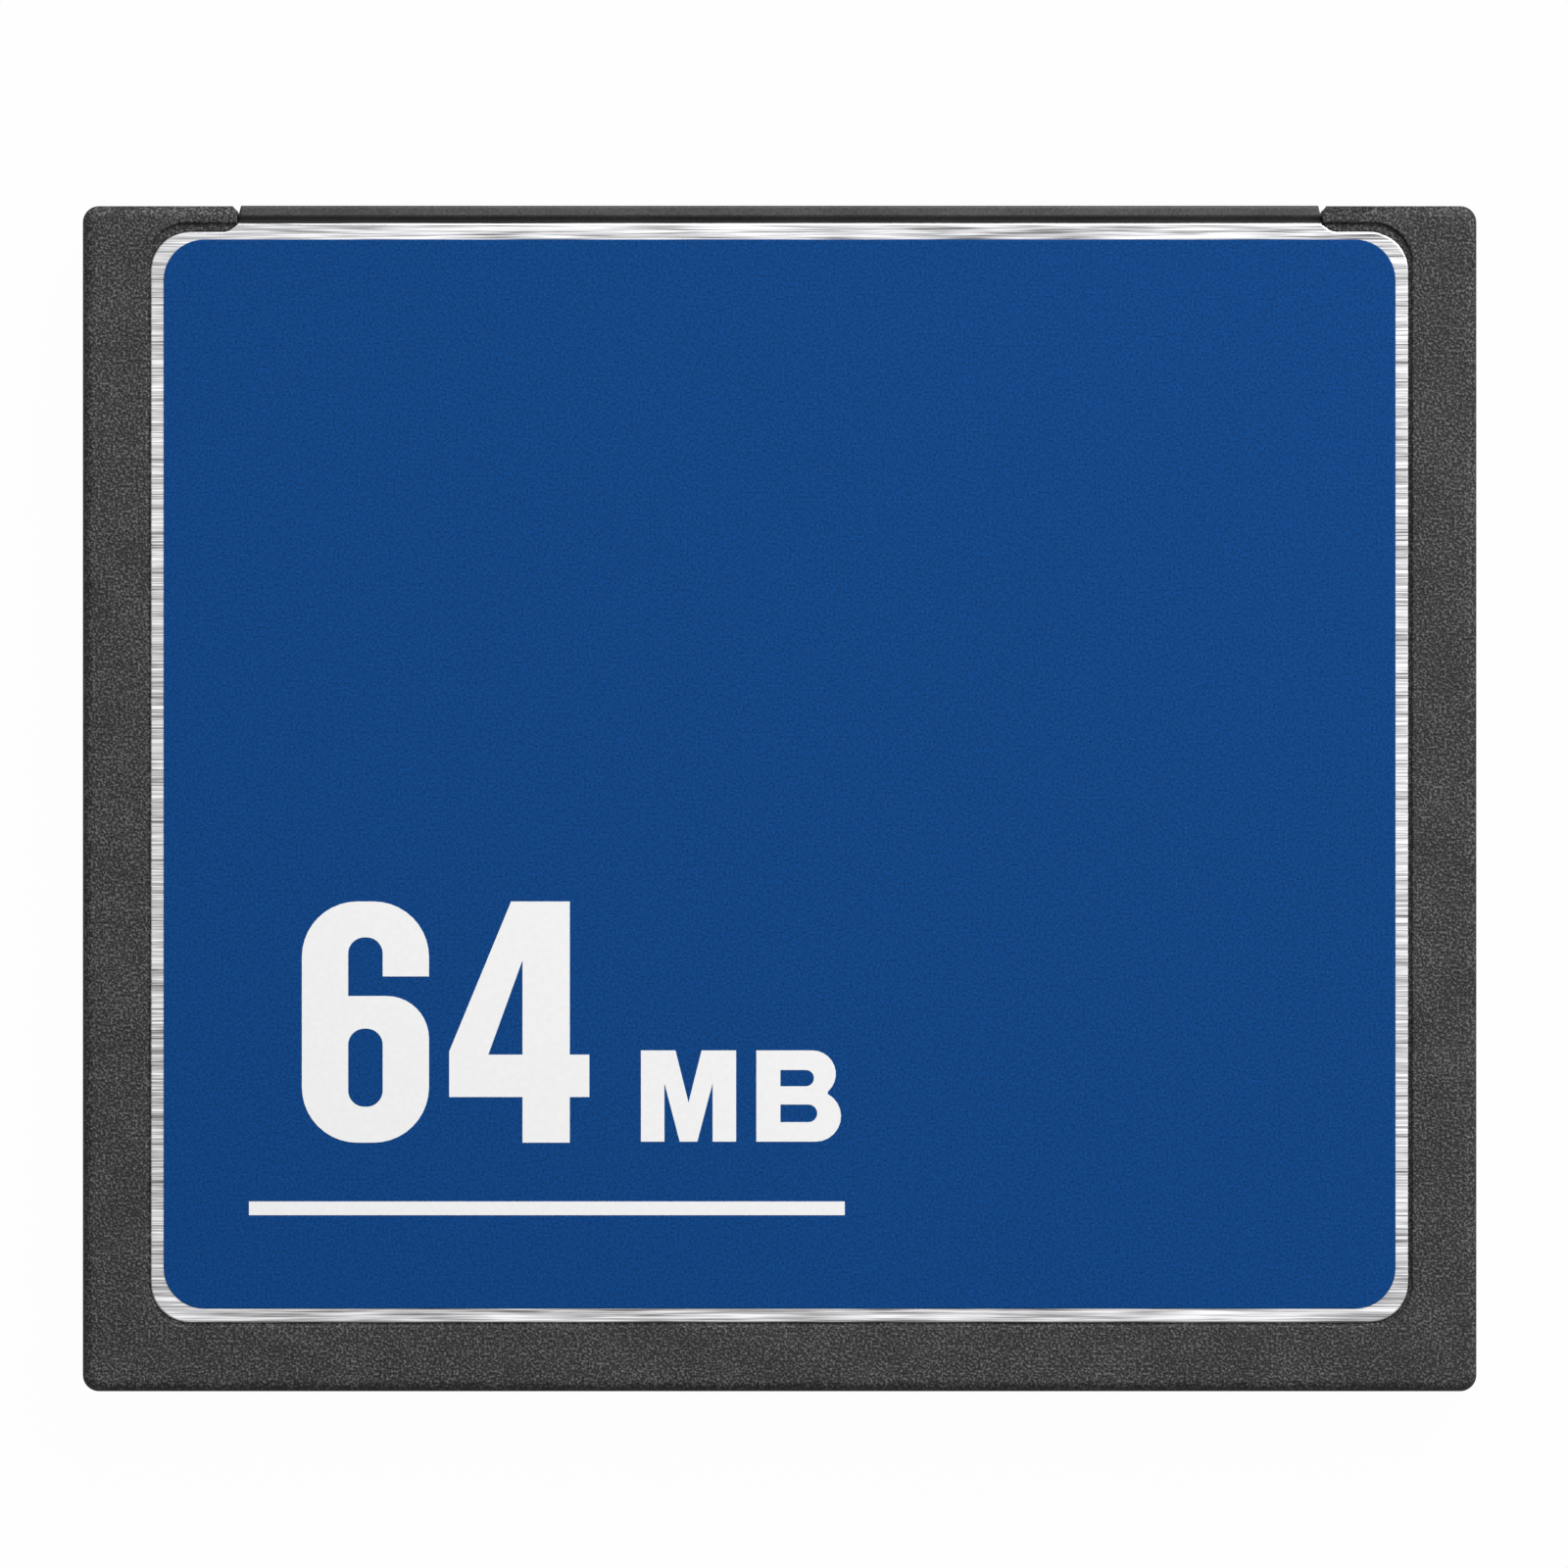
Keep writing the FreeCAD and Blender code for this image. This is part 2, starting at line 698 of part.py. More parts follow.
def board_components():
    """Chips and small parts, laid out from the board's edges."""
    margin = size.component_margin
    row_front = board_front - size.tail_foot - margin

    memory_row = size.memory_lead_count.gaps() * size.memory_lead_pitch + size.lead_width
    memory_width = memory_row + size.memory_end_margin.twice()
    memory_x = memory_width.half() + margin - board_side
    memory_y = (board_front + board_rear).half()
    controller_row = size.controller_lead_count.gaps() * size.controller_lead_pitch + size.lead_width
    controller_width = controller_row + size.controller_end_margin.twice()
    controller_span = controller_width.half() + size.controller_lead_reach
    controller_x = board_side - margin - controller_span
    controller_y = row_front - controller_span
    regulator_row = size.regulator_lead_count.gaps() * size.regulator_lead_pitch + size.regulator_lead_width
    regulator_width = regulator_row + size.regulator_end_margin.twice()
    back_row = controller_y - controller_span - margin
    regulator_x = board_side - margin - regulator_width.half()
    regulator_y = back_row - size.regulator_depth.half() - size.regulator_lead_reach
    capacitor_x = controller_x - controller_span + size.capacitor_width
    capacitor_y = back_row - size.capacitor_length.half()
    network_x = -(size.network_count.gaps() * size.network_pitch).half()
    network_y = row_front - size.network_width.half()
    resistor_x = -(size.resistor_count.gaps() * size.resistor_pitch).half()
    resistor_y = network_y - size.network_width.half() - margin - size.resistor_length.half()

    return [
        chip_body("memory_chip", memory_x, memory_y, memory_width, size.memory_length),
        chip_leads("memory_chip_leads", memory_x, memory_y, size.memory_length, size.memory_lead_reach,
                   size.memory_lead_pitch, size.memory_lead_count, size.lead_width, sides=2),
        chip_body("controller_chip", controller_x, controller_y, controller_width, controller_width),
        chip_leads("controller_chip_leads", controller_x, controller_y, controller_width,
                   size.controller_lead_reach, size.controller_lead_pitch, size.controller_lead_count,
                   size.lead_width, sides=4),
        chip_body("regulator", regulator_x, regulator_y, regulator_width, size.regulator_depth),
        chip_leads("regulator_leads", regulator_x, regulator_y, size.regulator_depth,
                   size.regulator_lead_reach, size.regulator_lead_pitch, size.regulator_lead_count,
                   size.regulator_lead_width, sides=2),
        terminal_parts("ceramic_capacitors", capacitor_x, capacitor_y, board_top, size.capacitor_length,
                       size.capacitor_width, size.capacitor_height, size.capacitor_pitch,
                       size.capacitor_count),
        terminal_parts("chip_resistors", resistor_x, resistor_y, board_bottom, size.resistor_length,
                       size.resistor_width, size.resistor_height, size.resistor_pitch,
                       size.resistor_count, below=True),
        terminal_parts("resistor_networks", network_x, network_y, board_bottom, size.network_width,
                       size.network_length, size.network_height, size.network_pitch, size.network_count,
                       below=True),
        crystal_piece("crystal_base", board_bottom, size.crystal_base_height, ground),
        crystal_piece("crystal_lid", board_bottom - size.crystal_base_height, size.crystal_lid_height,
                      size.crystal_lid_margin),
    ]


upper_film = card_height - shell_depth - size.insulator_thickness
pieces = [
    half_frame("upper_frame", upper=True),
    half_frame("lower_frame", upper=False),
    steel_panel("upper_panel", upper=True),
    steel_panel("lower_panel", upper=False),
    printed_label(),
    insulator("upper_insulator", upper_film),
    insulator("lower_insulator", shell_depth),
    connector_housing(),
    contact_row("upper_contacts", upper=True),
    contact_row("lower_contacts", upper=False),
    circuit_board(),
    *board_components(),
]
doc.recompute()

failed = [item.Name for item in doc.Objects if {"Invalid", "Error"} & set(item.State)]
if failed:
    raise RuntimeError(f"failed features: {failed}")
for piece in pieces:
    if piece.Shape.isNull() or not piece.Shape.isValid():
        raise RuntimeError(f"{piece.Label} has no valid shape")

os.makedirs("parts", exist_ok=True)
for piece in pieces:
    piece.Shape.exportStep(f"parts/{piece.Label}.step")
    print(f"{piece.Label}: {len(piece.Shape.Solids)} solids, {piece.Shape.Volume:.3f} mm3")
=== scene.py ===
import math

import bmesh
import bpy
from mathutils import Matrix, Vector


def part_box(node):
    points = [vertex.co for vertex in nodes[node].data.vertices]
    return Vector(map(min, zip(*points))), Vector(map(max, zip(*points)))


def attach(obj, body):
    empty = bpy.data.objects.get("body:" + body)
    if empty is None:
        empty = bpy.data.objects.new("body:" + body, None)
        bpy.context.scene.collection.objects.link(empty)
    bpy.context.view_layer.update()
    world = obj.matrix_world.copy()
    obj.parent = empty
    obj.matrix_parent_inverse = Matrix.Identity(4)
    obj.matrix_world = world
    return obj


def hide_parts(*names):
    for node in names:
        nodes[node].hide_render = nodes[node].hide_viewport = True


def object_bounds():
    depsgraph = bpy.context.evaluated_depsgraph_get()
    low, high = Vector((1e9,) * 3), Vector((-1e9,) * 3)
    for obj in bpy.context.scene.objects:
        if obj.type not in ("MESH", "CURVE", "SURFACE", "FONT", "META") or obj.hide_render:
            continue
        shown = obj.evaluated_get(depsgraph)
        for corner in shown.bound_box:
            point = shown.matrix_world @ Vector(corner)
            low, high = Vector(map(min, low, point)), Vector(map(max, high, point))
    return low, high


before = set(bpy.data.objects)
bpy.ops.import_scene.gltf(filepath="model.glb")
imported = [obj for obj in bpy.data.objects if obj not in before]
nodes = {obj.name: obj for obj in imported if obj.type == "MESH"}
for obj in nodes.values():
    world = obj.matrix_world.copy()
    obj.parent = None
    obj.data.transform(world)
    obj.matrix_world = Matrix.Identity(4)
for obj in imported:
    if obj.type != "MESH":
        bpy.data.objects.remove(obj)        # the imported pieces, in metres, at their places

mm = 0.001
scene = bpy.context.scene
cadBox = [list(corner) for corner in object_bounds()]
print("frame loaded with", len(nodes), "pieces")


# Node trees

colourMix = {"factor": 0, "first": 6, "second": 7, "result": 2}   # a Mix node's sockets for colours
blueLean = 1.02                                  # the greys are a touch cooler than neutral


class Wire:                                      # a socket that arithmetic can be written on
    def __init__(self, graph, socket):
        self.graph = graph
        self.socket = socket

    def maths(self, operation, first, second):
        return self.graph.node("ShaderNodeMath", {"operation": operation}, {0: first, 1: second})

    def __add__(self, other):
        return self.maths("ADD", self, other)

    def __radd__(self, other):
        return self.maths("ADD", other, self)

    def __sub__(self, other):
        return self.maths("SUBTRACT", self, other)

    def __rsub__(self, other):
        return self.maths("SUBTRACT", other, self)

    def __mul__(self, other):
        return self.maths("MULTIPLY", self, other)

    def __rmul__(self, other):
        return self.maths("MULTIPLY", other, self)


class Graph:                                     # makes nodes in one empty node tree
    def __init__(self, tree):
        self.tree = tree
        tree.nodes.clear()

    def node(self, kind, settings, sockets, out=0):
        item = self.tree.nodes.new(kind)
        for key, value in settings.items():
            if key == "stops":
                fillRamp(item.color_ramp, value)
            else:
                setattr(item, key, value)
        for key, value in sockets.items():
            if isinstance(value, Wire):
                self.tree.links.new(value.socket, item.inputs[key])
            else:
                item.inputs[key].default_value = value
        return Wire(self, item.outputs[out]) if item.outputs else None

    def rays(self):                              # is it the camera's ray, and is it one off metal or glass
        camera, glossy, clear = [self.node("ShaderNodeLightPath", {}, {}, f"Is {kind} Ray")
                                 for kind in ("Camera", "Glossy", "Transmission")]
        return camera, glossy + clear


class Finish(Graph):                             # one material
    def __init__(self, name):
        self.material = bpy.data.materials.new(name)
        self.material.use_nodes = True
        super().__init__(self.material.node_tree)
        self.place = self.node("ShaderNodeTexCoord", {}, {}, "Object")

    def principled(self, **sockets):             # Base_Color stands for the socket Base Color
        named = {key.replace("_", " "): value for key, value in sockets.items()}
        return self.node("ShaderNodeBsdfPrincipled", {}, named)

    def surface(self, **sockets):
        self.node("ShaderNodeOutputMaterial", {}, {"Surface": self.principled(**sockets)})
        return self.material

    def noise(self, perMetre, detail=2.0, stretch=(1, 1, 1), roughness=0.5):
        place = self.node("ShaderNodeMapping", {}, {"Vector": self.place, "Scale": stretch})
        sockets = {"Vector": place, "Scale": perMetre, "Detail": detail, "Roughness": roughness}
        return self.node("ShaderNodeTexNoise", {}, sockets, "Fac")

    def greys(self, fac, tones):                 # tones of (position, level)
        stops = [(position, (level, level, level * blueLean, 1)) for position, level in tones]
        return self.node("ShaderNodeValToRGB", {"stops": stops}, {"Fac": fac}, "Color")

    def mix(self, fac, first, second):
        sockets = {colourMix["factor"]: fac, colourMix["first"]: first, colourMix["second"]: second}
        return self.node("ShaderNodeMix", {"data_type": "RGBA"}, sockets, colourMix["result"])

    def bump(self, height, strength, depth):
        sockets = {"Strength": strength, "Distance": depth, "Height": height}
        return self.node("ShaderNodeBump", {}, sockets, "Normal")


def fillRamp(ramp, stops):
    for position, colour in stops[len(ramp.elements):]:
        ramp.elements.new(position)
    for element, (position, colour) in zip(ramp.elements, stops):
        element.position = position
        element.color = colour


def blended(first, second, share):               # two patterns in one, share being the second's
    return first * (1 - share) + second * share


# Finishes

def sparkGrainPlastic():                         # frame halves: the pebbled grain of a spark-eroded tool
    look = {
        "grainPerMetre": 13000, "grainRoughness": 0.55, "blotchPerMetre": 700, "blotchShare": 0.1,
        "tones": [(0.36, 0.003), (0.5, 0.02), (0.66, 0.15)], "bump": 1.0, "depth": 0.05 * mm,
        "rough": 0.5, "roughByGrain": 0.25, "gloss": 0.3,
    }
    finish = Finish("sparkGrainPlastic")
    grain = finish.noise(look["grainPerMetre"], roughness=look["grainRoughness"])
    blotch = finish.noise(look["blotchPerMetre"])
    return finish.surface(
        Base_Color=finish.greys(blended(grain, blotch, look["blotchShare"]), look["tones"]),
        Roughness=look["rough"] + grain * look["roughByGrain"],
        Specular_IOR_Level=look["gloss"],
        Normal=finish.bump(grain, look["bump"], look["depth"]),
    )


def smoothMouldedPlastic():                      # socket block: a finer tool, faint flow marks
    look = {
        "flowPerMetre": 1100, "flowDetail": 3.0, "flowStretch": (0.3, 1, 1), "finePerMetre": 15000,
        "fineShare": 0.6, "tones": [(0.38, 0.02), (0.62, 0.07)], "bump": 0.5, "depth": 0.01 * mm,
        "rough": 0.45, "roughByFine": 0.2, "gloss": 0.4,
    }
    finish = Finish("smoothMouldedPlastic")
    flow = finish.noise(look["flowPerMetre"], look["flowDetail"], look["flowStretch"])
    fine = finish.noise(look["finePerMetre"])
    return finish.surface(
        Base_Color=finish.greys(blended(flow, fine, look["fineShare"]), look["tones"]),
        Roughness=look["rough"] + fine * look["roughByFine"],
        Specular_IOR_Level=look["gloss"],
        Normal=finish.bump(fine, look["bump"], look["depth"]),
    )


def brushedSteel():                              # panels: long scratches along the connector edge
    look = {
        "broadPerMetre": 6500, "broadStretch": (0.03, 1, 1), "finePerMetre": 21000,
        "fineStretch": (0.02, 1, 1), "fineShare": 0.65, "cloudPerMetre": 160, "cloudDetail": 1.0,
        "cloudShare": 0.07, "tones": [(0.37, 0.15), (0.62, 0.9)], "bump": 0.4, "depth": 0.012 * mm,
        "rough": 0.26, "roughByLines": 0.2,
    }
    finish = Finish("brushedSteel")
    broad = finish.noise(look["broadPerMetre"], stretch=look["broadStretch"])
    fine = finish.noise(look["finePerMetre"], stretch=look["fineStretch"])
    cloud = finish.noise(look["cloudPerMetre"], look["cloudDetail"])
    lines = blended(broad, fine, look["fineShare"])
    return finish.surface(
        Base_Color=finish.greys(blended(lines, cloud, look["cloudShare"]), look["tones"]),
        Metallic=1.0,
        Roughness=look["rough"] + lines * look["roughByLines"],
        Normal=finish.bump(lines, look["bump"], look["depth"]),
    )


def satinBlueFilm():                             # label: an even blue with a fine tooth
    look = {
        "toothPerMetre": 14000, "driftPerMetre": 220, "driftDetail": 1.0, "driftShare": 0.02,
        "deep": (0.001, 0.0085, 0.035, 1), "pale": (0.0072, 0.105, 0.412, 1),
        "bump": 0.4, "depth": 0.004 * mm, "rough": 0.55, "roughByTooth": 0.15, "gloss": 0.06,
    }
    finish = Finish("satinBlueFilm")
    tooth = finish.noise(look["toothPerMetre"])
    drift = finish.noise(look["driftPerMetre"], look["driftDetail"])
    return finish.surface(
        Base_Color=finish.mix(blended(tooth, drift, look["driftShare"]), look["deep"], look["pale"]),
        Roughness=look["rough"] + tooth * look["roughByTooth"],
        Specular_IOR_Level=look["gloss"],
        Normal=finish.bump(tooth, look["bump"], look["depth"]),
    )


def whiteInk():                                  # print on the label: screened ink, very slightly mottled
    look = {
        "mottlePerMetre": 6000, "mottleDetail": 3.0, "low": (0.9, 0.9, 0.9, 1),
        "high": (0.98, 0.98, 0.98, 1), "bump": 0.3, "depth": 0.003 * mm, "rough": 0.5,
        "roughByMottle": 0.15, "gloss": 0.1,
    }
    finish = Finish("whiteInk")
    mottle = finish.noise(look["mottlePerMetre"], look["mottleDetail"])
    return finish.surface(
        Base_Color=finish.mix(mottle, look["low"], look["high"]),
        Roughness=look["rough"] + mottle * look["roughByMottle"],
        Specular_IOR_Level=look["gloss"],
        Normal=finish.bump(mottle, look["bump"], look["depth"]),
    )


def platedMetal(name, dark, light, rough):       # gold on the contacts, tin on the leads
    look = {
        "rolledPerMetre": 9000, "rolledStretch": (1, 0.08, 1), "pitsPerMetre": 26000,
        "pitsInColour": 0.3, "pitsInHeight": 0.4, "bump": 0.25, "depth": 0.004 * mm, "roughByRolling": 0.15,
    }
    finish = Finish(name)
    rolled = finish.noise(look["rolledPerMetre"], stretch=look["rolledStretch"])
    pits = finish.noise(look["pitsPerMetre"])
    height = blended(rolled, pits, look["pitsInHeight"])
    return finish.surface(
        Base_Color=finish.mix(blended(rolled, pits, look["pitsInColour"]), dark, light),
        Metallic=1.0,
        Roughness=rough + rolled * look["roughByRolling"],
        Normal=finish.bump(height, look["bump"], look["depth"]),
    )


def mottledSolid(name, dark, light, perMetre, rough):   # laminate, resin, ceramic and film inside
    look = {
        "coarseDetail": 3.0, "finer": 6, "fineShare": 0.4, "bump": 0.4, "depth": 0.006 * mm,
        "roughByFine": 0.15,
    }
    finish = Finish(name)
    coarse = finish.noise(perMetre, look["coarseDetail"])
    fine = finish.noise(perMetre * look["finer"])
    return finish.surface(
        Base_Color=finish.mix(blended(coarse, fine, look["fineShare"]), dark, light),
        Roughness=rough + fine * look["roughByFine"],
        Normal=finish.bump(fine, look["bump"], look["depth"]),
    )


framePlastic = sparkGrainPlastic()
blockPlastic = smoothMouldedPlastic()
panelSteel = brushedSteel()
labelFilm = satinBlueFilm()
printInk = whiteInk()
contactGold = platedMetal("contactGold", dark=(0.62, 0.39, 0.1, 1), light=(0.9, 0.66, 0.26, 1), rough=0.2)
leadTin = platedMetal("leadTin", dark=(0.5, 0.5, 0.48, 1), light=(0.74, 0.74, 0.72, 1), rough=0.3)
boardGreen = mottledSolid("boardGreen", dark=(0.012, 0.1, 0.035, 1), light=(0.03, 0.2, 0.075, 1),
                          perMetre=1500, rough=0.3)
chipResin = mottledSolid("chipResin", dark=(0.014, 0.014, 0.015, 1), light=(0.032, 0.032, 0.034, 1),
                         perMetre=5000, rough=0.55)
amberFilm = mottledSolid("amberFilm", dark=(0.42, 0.24, 0.04, 1), light=(0.6, 0.4, 0.1, 1),
                         perMetre=900, rough=0.25)
firedCeramic = mottledSolid("firedCeramic", dark=(0.3, 0.22, 0.15, 1), light=(0.48, 0.38, 0.28, 1),
                            perMetre=4000, rough=0.45)
print("finishes made")


# Shell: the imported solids, merged, with the small edge radii of moulded and pressed pieces

joining = {
    "mergeWithin": 0.004 * mm, "flatWithin": math.radians(0.6), "sharpFrom": math.radians(34),
    "cornerRadius": 0.5 * mm, "edgeSteps": 2, "slightest": 0.0002 * mm,
}


def meshObject(name, mesh, material):
    piece = bpy.data.objects.new(name, mesh)
    scene.collection.objects.link(piece)
    mesh.materials.clear()
    mesh.materials.append(material)
    return piece


def everywhere(point):
    return True


def onOutside(point):                            # on the card's outline, its top or its underside
    past = [max(abs(at) - (edge - joining["cornerRadius"]), 0) for at, edge in zip(point.xy, cadBox[1])]
    depth = joining["cornerRadius"] - math.hypot(*past)
    return min(depth, point.z - cadBox[0][2], cadBox[1][2] - point.z) < joining["mergeWithin"]


def mergedCopy(node, keep=everywhere, rounded=everywhere):   # rounded: where sharp edges get a radius
    mesh = nodes[node].data.copy()
    work = bmesh.new()
    work.from_mesh(mesh)
    spare = [v for v in work.verts if not keep(v.co)]
    bmesh.ops.delete(work, geom=spare, context="VERTS")
    bmesh.ops.remove_doubles(work, verts=work.verts, dist=joining["mergeWithin"])
    bmesh.ops.dissolve_limit(work, angle_limit=joining["flatWithin"], verts=work.verts, edges=work.edges)
    share = work.edges.layers.float.new("bevel_weight_edge")
    for edge in work.edges:
        chosen = all(rounded(v.co) for v in edge.verts)
        edge[share] = float(chosen and edge.calc_face_angle(0) > joining["sharpFrom"])
    work.to_mesh(mesh)
    work.free()
    mesh.shade_smooth()
    mesh.set_sharp_from_angle(angle=joining["sharpFrom"])
    return mesh


def plainMesh(piece, name):                      # the evaluated result, without faces that have no area
    shown = piece.evaluated_get(bpy.context.evaluated_depsgraph_get())
    mesh = bpy.data.meshes.new_from_object(shown)
    mesh.name = name
    bpy.data.objects.remove(piece)
    work = bmesh.new()
    work.from_mesh(mesh)
    bmesh.ops.dissolve_degenerate(work, dist=joining["slightest"], edges=work.edges)
    work.to_mesh(mesh)
    work.free()
    return mesh


def softEdged(name, mesh, finish, radius):
    source = meshObject(name + "Source", mesh, finish)
    bevel = source.modifiers.new("edgeRadius", "BEVEL")
    bevel.width = radius
    bevel.segments = joining["edgeSteps"]
    bevel.limit_method = "WEIGHT"
    bevel.use_clamp_overlap = False
    piece = meshObject(name, plainMesh(source, name), finish)
    weighted = piece.modifiers.new("flatFaces", "WEIGHTED_NORMAL")
    weighted.keep_sharp = True
    return piece


def addToCard(piece, slot, *replaced):
    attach(piece, "root")
    if replaced:
        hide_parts(*replaced)


shell = {
    "upper_frame": {"name": "upperHalfFrame", "finish": framePlastic, "slot": "frame_plastic",
                    "edge": 0.045 * mm, "rounded": onOutside},
    "lower_frame": {"name": "lowerHalfFrame", "finish": framePlastic, "slot": "frame_plastic",
                    "edge": 0.045 * mm, "rounded": onOutside},
    "upper_panel": {"name": "upperSteelPanel", "finish": panelSteel, "slot": "panel_steel",
                    "edge": 0.025 * mm, "rounded": everywhere},
    "lower_panel": {"name": "lowerSteelPanel", "finish": panelSteel, "slot": "panel_steel",
                    "edge": 0.025 * mm, "rounded": everywhere},
    "label": {"name": "labelSheet", "finish": labelFilm, "slot": "label_film",
              "edge": 0.02 * mm, "rounded": everywhere},
    "connector_housing": {"name": "socketBlock", "finish": blockPlastic, "slot": "connector_plastic",
                          "edge": 0.02 * mm, "rounded": everywhere},
}
for node, make in shell.items():
    mesh = mergedCopy(node, rounded=make["rounded"])
    piece = softEdged(make["name"], mesh, make["finish"], make["edge"])
    addToCard(piece, make["slot"], node)
print("shell pieces made")


# Contacts: one fork, repeated along each row by Geometry Nodes

contactRow = {"count": 25, "firstWithin": 0.9 * mm, "tipRadius": 0.035 * mm}
rowInputs = {"Fork": "NodeSocketGeometry", "Count": "NodeSocketInt", "Pitch": "NodeSocketFloat",
             "Finish": "NodeSocketMaterial"}


def rowTree():
    tree = bpy.data.node_groups.new("contactRow", "GeometryNodeTree")
    for name, kind in rowInputs.items():
        tree.interface.new_socket(name, in_out="INPUT", socket_type=kind)
    tree.interface.new_socket("Row", in_out="OUTPUT", socket_type="NodeSocketGeometry")
    graph = Graph(tree)
    given = {name: graph.node("NodeGroupInput", {}, {}, name) for name in rowInputs}
    step = graph.node("ShaderNodeCombineXYZ", {}, {"X": given["Pitch"]})
    line = graph.node("GeometryNodeMeshLine", {}, {"Count": given["Count"], "Offset": step})
    copies = graph.node("GeometryNodeInstanceOnPoints", {}, {"Points": line, "Instance": given["Fork"]})
    whole = graph.node("GeometryNodeRealizeInstances", {}, {"Geometry": copies})
    painted = graph.node("GeometryNodeSetMaterial", {}, {"Geometry": whole, "Material": given["Finish"]})
    graph.node("NodeGroupOutput", {}, {"Row": painted})
    return tree


def setInputs(modifier, **values):
    for item in modifier.node_group.interface.items_tree:
        if item.in_out == "INPUT" and item.name in values:
            modifier[item.identifier] = values[item.name]


def contactForks(node, name, tree):
    low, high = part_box(node)

    def onFirst(point):
        return point.x < low.x + contactRow["firstWithin"]

    width = max(v.co.x for v in nodes[node].data.vertices if onFirst(v.co)) - low.x
    pitch = (high.x - low.x - width) / (contactRow["count"] - 1)
    fork = softEdged(name + "Fork", mergedCopy(node, keep=onFirst), contactGold, contactRow["tipRadius"])
    repeat = fork.modifiers.new("row", "NODES")
    repeat.node_group = tree
    setInputs(repeat, Count=contactRow["count"], Pitch=pitch, Finish=contactGold)
    row = meshObject(name, plainMesh(fork, name), contactGold)
    addToCard(row, "contact_metal", node)


forkTree = rowTree()
contactForks("upper_contacts", "upperContactRow", forkTree)
contactForks("lower_contacts", "lowerContactRow", forkTree)
print("contact rows made")


# Printing on the label: a plain capacity figure and a rule, as flat ink drawn in millimetres

photo = {"pixelsPerMillimetre": 33.26, "centreX": 795.5, "centreY": 815.0, "size": 1600}
printAt = {"figure": (308, 1166), "unit": (654, 1165),   # pixels of the photo; these two at the lower left
           "ruleTopLeft": (254, 1226), "ruleBottomRight": (862, 1240)}
ink = {"thickness": 0.006, "gap": 0.62, "arcSteps": 10, "leastArea": 1e-6}


def onCard(pixelX, pixelY):                      # a pixel of the photo, in millimetres on the card
    scale = photo["pixelsPerMillimetre"]
    return (pixelX - photo["centreX"]) / scale, (photo["centreY"] - pixelY) / scale


def arc(x, y, radius, start, end):               # angles in degrees
    steps = ink["arcSteps"]
    angles = [math.radians(start + (end - start) * index / steps) for index in range(steps + 1)]
    return [(x + radius * math.cos(angle), y + radius * math.sin(angle)) for angle in angles]


def roundedLoop(corners):                        # corners of (x, y, radius)
    points = []
    for index, (x, y, radius) in enumerate(corners):
        if not radius:
            points.append((x, y))
            continue
        here = Vector((x, y))
        inward = (Vector(corners[index - 1][:2]) - here).normalized()
        outward = (Vector(corners[(index + 1) % len(corners)][:2]) - here).normalized()
        half = inward.angle(outward) / 2
        centre = here + (inward + outward).normalized() * (radius / math.sin(half))
        first = here + inward * (radius / math.tan(half)) - centre
        last = here + outward * (radius / math.tan(half)) - centre
        start = math.degrees(math.atan2(first.y, first.x))
        turn = (math.degrees(math.atan2(last.y, last.x)) - start + 180) % 360 - 180
        points += arc(centre.x, centre.y, radius, start, start + turn)
    return points


six = {"width": 3.9, "height": 7.4, "stroke": 1.42, "bar": 1.1, "bowlTop": 4.5, "bowlBar": 1.0,
       "tipBase": 5.1, "corner": 1.7, "shoulder": 1.3, "inner": 0.5}


def figureSix(width, height, stroke, bar, bowlTop, bowlBar, tipBase, corner, shoulder, inner):
    right = width - stroke
    roof = height - bar
    eyeTop = bowlTop - bowlBar
    outer = [
        (0, 0, corner), (width, 0, corner), (width, bowlTop, shoulder), (stroke, bowlTop, 0),
        (stroke, roof, inner), (right, roof, inner), (right, tipBase, 0), (width, tipBase, 0),
        (width, height, corner), (0, height, corner),
    ]
    eye = [(stroke, bar, inner), (right, bar, inner), (right, eyeTop, inner), (stroke, eyeTop, inner)]
    return [roundedLoop(outer), roundedLoop(eye)], width


four = {"width": 4.3, "height": 7.4, "stemLeft": 2.25, "stemRight": 3.7, "barBase": 1.4, "barTop": 2.7,
        "slantBase": 2.8, "slantTop": 1.9, "eyeLeft": 1.2, "eyeTop": 5.6}


def figureFour(width, height, stemLeft, stemRight, barBase, barTop, slantBase, slantTop, eyeLeft, eyeTop):
    outer = [
        (0, barBase), (stemLeft, barBase), (stemLeft, 0), (stemRight, 0), (stemRight, barBase),
        (width, barBase), (width, barTop), (stemRight, barTop), (stemRight, height), (slantTop, height),
        (0, slantBase),
    ]
    eye = [(eyeLeft, barTop), (stemLeft, barTop), (stemLeft, eyeTop)]
    return [outer, eye], width


capitalM = {"width": 2.92, "height": 2.8, "stroke": 0.72, "rise": 1.8, "footHalf": 0.27, "shoulder": 1.06,
            "valley": 1.2}


def letterM(width, height, stroke, rise, footHalf, shoulder, valley):
    middle = width / 2
    outer = [
        (0, 0), (stroke, 0), (stroke, rise), (middle - footHalf, 0), (middle + footHalf, 0),
        (width - stroke, rise), (width - stroke, 0), (width, 0), (width, height),
        (width - shoulder, height), (middle, valley), (shoulder, height), (0, height),
    ]
    return [outer], width


capitalB = {"width": 2.6, "stem": 0.74, "lowerBowl": (1.82, 0.78, 0.78), "lowerEnd": 62,
            "upperBowl": (1.72, 2.08, 0.72), "upperStart": -48,
            "eyes": [(1.6, 0.87, 0.27), (1.52, 1.95, 0.25)]}   # bowls and eyes of (x, y, radius)


